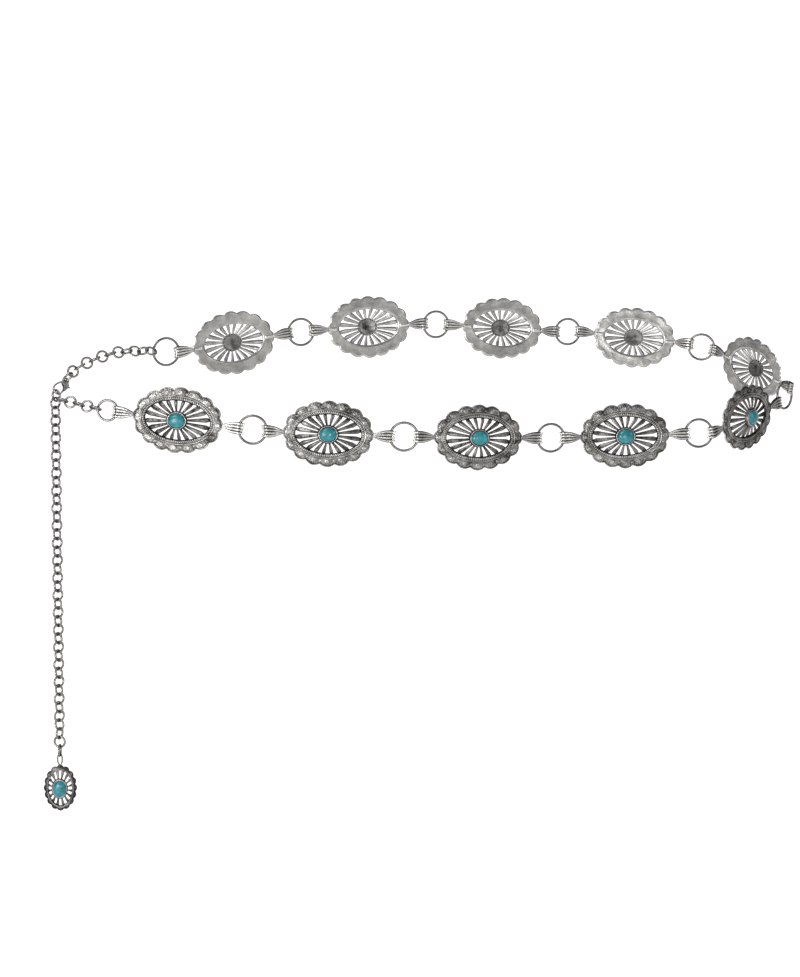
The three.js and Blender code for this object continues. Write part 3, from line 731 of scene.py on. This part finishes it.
lever_line = np.array([
    (8.15, 0.78), (8.5, 0.95), (8.5, 1.45), (8.1, 1.72), (5.2, 2.0), (3.3, 2.45), (2.6, 2.85),
    (2.2, 2.9), (1.5, 2.6), (1.25, 2.0), (1.35, 1.4), (1.8, 1.0), (2.5, 0.95), (4.5, 0.98),
    (8.15, 0.78),
])
lever_bar = slab(smooth_line(lever_line, 61)[:-1], -0.33, 0.33, 0.2)
stem = np.array([(2.25, 2.4, 0), (2.3, 3.0, 0), (2.36, 3.4, 0)])
knob_stem = tube(stem, [0, 0, 1.0], 0.32, 0.34, 10, 0.3)
knob = bead((2.4, 3.65, 0), 0.62)
lever_tubes = placed([lever_bar, knob_stem, knob], CLASP_ORIGIN, CLASP_AXES)
lever = skin("clasp_lever_cast", lever_tubes, clasp_silver)
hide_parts("clasp_lever")
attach(lever, "lever")

# The pendant.
# A small concho of the same casting pattern, hung end down from an oval loop on the chain's last
# link, with its own stone.
PENDANT = {
    "length": 26.2, "height": 18.7, "pierced_length": 19.9, "pierced_height": 13.2,
    "border_length": 22.6, "border_height": 15.4, "scallop": 0.9, "lobe_width": 4.4,
    "thick": 1.1, "rise": 0.5, "strands": 56, "dome": 1.4, "hub_length": 11.3,
    "hub_height": 9.0, "spokes": 16, "spoke": 0.68, "stamp": 0.48, "glint": 0.3, "shade": 1.0,
}
PENDANT_STONE = (9.6, 7.4, 2.3)
LOOP_HALF_WIDTH, LOOP_HALF_LENGTH, LOOP_DROP, LOOP_WIRE = 1.31, 3.24, 2.16, 0.42
PIVOT = np.array([-213.681, -58.251, -208.936])
base, axes = axes_of("pendant_stone")
plate_back = base - axes[2] * (PENDANT["thick"] + PENDANT["dome"] + STONE_GAP) * MM
small_plate = placed(plate(PENDANT, columns=256), plate_back, axes)
angle = np.arange(40) / 40 * 2 * np.pi
loop_path = np.stack([
    np.cos(angle) * LOOP_HALF_WIDTH, 0 * angle, np.sin(angle) * LOOP_HALF_LENGTH - LOOP_DROP,
], -1) + PIVOT
loop = tube(loop_path, [0, 1.0, 0], LOOP_WIRE, LOOP_WIRE, 10, 0.9, endless=True)
pendant = skin("pendant_cast", [*small_plate, (loop[0] * MM, loop[1], True)], antique_silver)
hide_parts("pendant")
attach(pendant, "pendant")
drop = skin("pendant_cabochon", placed([cabochon(*PENDANT_STONE)], base, axes), turquoise)
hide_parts("pendant_stone")
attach(drop, "pendant")

# The studio.
# White paper that curves up behind the belt and glows, so that it reads as plain white, and soft
# panels: high at the left, low beside the camera, at the right and overhead.
paper, start, surface = material("white_paper", 0.0)
surface.inputs["Base Color"].default_value = (0.25, 0.25, 0.25, 1)
surface.inputs["Roughness"].default_value = 0.9
surface.inputs["Emission Color"].default_value = (1, 1, 1, 1)
surface.inputs["Emission Strength"].default_value = 1.02
sweep = np.array([(-6, -0.3), (0.9, -0.3), (1.25, -0.24), (1.45, -0.05), (1.5, 0.3), (1.5, 1.4)])
SWEEP_ROWS, SWEEP_COLUMNS = 30, 3
sweep = smooth_line(sweep, SWEEP_ROWS)
side = np.linspace(-5, 5, SWEEP_COLUMNS)
grid = np.stack([
    np.broadcast_to(side[None], (SWEEP_ROWS, SWEEP_COLUMNS)),
    np.broadcast_to(sweep[:, :1], (SWEEP_ROWS, SWEEP_COLUMNS)),
    np.broadcast_to(sweep[:, 1:], (SWEEP_ROWS, SWEEP_COLUMNS)),
], -1)
rows, cols = np.arange(SWEEP_ROWS - 1)[:, None], np.arange(SWEEP_COLUMNS - 1)[None]
first = rows * SWEEP_COLUMNS + cols
above = first + SWEEP_COLUMNS
faces = np.stack([first, first + 1, above + 1, above], -1).reshape(-1, 4)
mesh = bpy.data.meshes.new("studio_floor")
mesh.from_pydata(grid.reshape(-1, 3), [], faces.tolist())
mesh.polygons.foreach_set("use_smooth", [True] * len(mesh.polygons))
mesh.materials.append(paper)
floor = bpy.data.objects.new("studio_floor", mesh)
bpy.context.scene.collection.objects.link(floor)

for name, place, aim, size, power in (
    ("key_panel", (-0.7, -1.1, 1.1), (0, 0, 0), 0.7, 11),
    ("left_panel", (-0.66, -1.24, -0.08), (-0.05, 0, 0), 0.5, 9),
    ("front_panel", (0.12, -1.3, -0.1), (0, 0, 0), 0.22, 1.6),
    ("fill_panel", (1.3, -0.9, 0.5), (0, 0, 0), 0.7, 4),
    ("top_panel", (0.0, 0.3, 1.7), (0, 0.1, 0), 1.4, 10),
):
    light = bpy.data.lights.new(name, "AREA")
    light.size = size
    light.energy = power
    lamp = bpy.data.objects.new(name, light)
    bpy.context.scene.collection.objects.link(lamp)
    direction = np.array(aim, float) - np.array(place, float)
    lamp.location = place
    yaw = math.atan2(direction[0], -direction[1])
    lamp.rotation_euler = (math.acos(-direction[2] / np.linalg.norm(direction)), 0, yaw + math.pi)

world = bpy.data.worlds.new("studio_air")
bpy.context.scene.world = world
world.use_nodes = True
world.node_tree.nodes["Background"].inputs["Color"].default_value = (1, 1, 1, 1)
world.node_tree.nodes["Background"].inputs["Strength"].default_value = 0.32

# The camera.
# It stands about 1.2 m in front of the belt and 4 degrees above it, looks at its middle, and is
# shifted to frame the belt as the photo does.
camera = bpy.data.cameras.new("camera")
camera.lens = 77.58
camera.shift_x = -0.0405
camera.shift_y = -0.1133
stand = bpy.data.objects.new("camera", camera)
bpy.context.scene.collection.objects.link(stand)
distance, elevation = 1.2285, math.radians(4)
stand.location = (0, -distance * math.cos(elevation), distance * math.sin(elevation))
stand.rotation_euler = (math.pi / 2 - elevation, 0, 0)
bpy.context.scene.camera = stand
bpy.context.scene.view_settings.view_transform = "Standard"
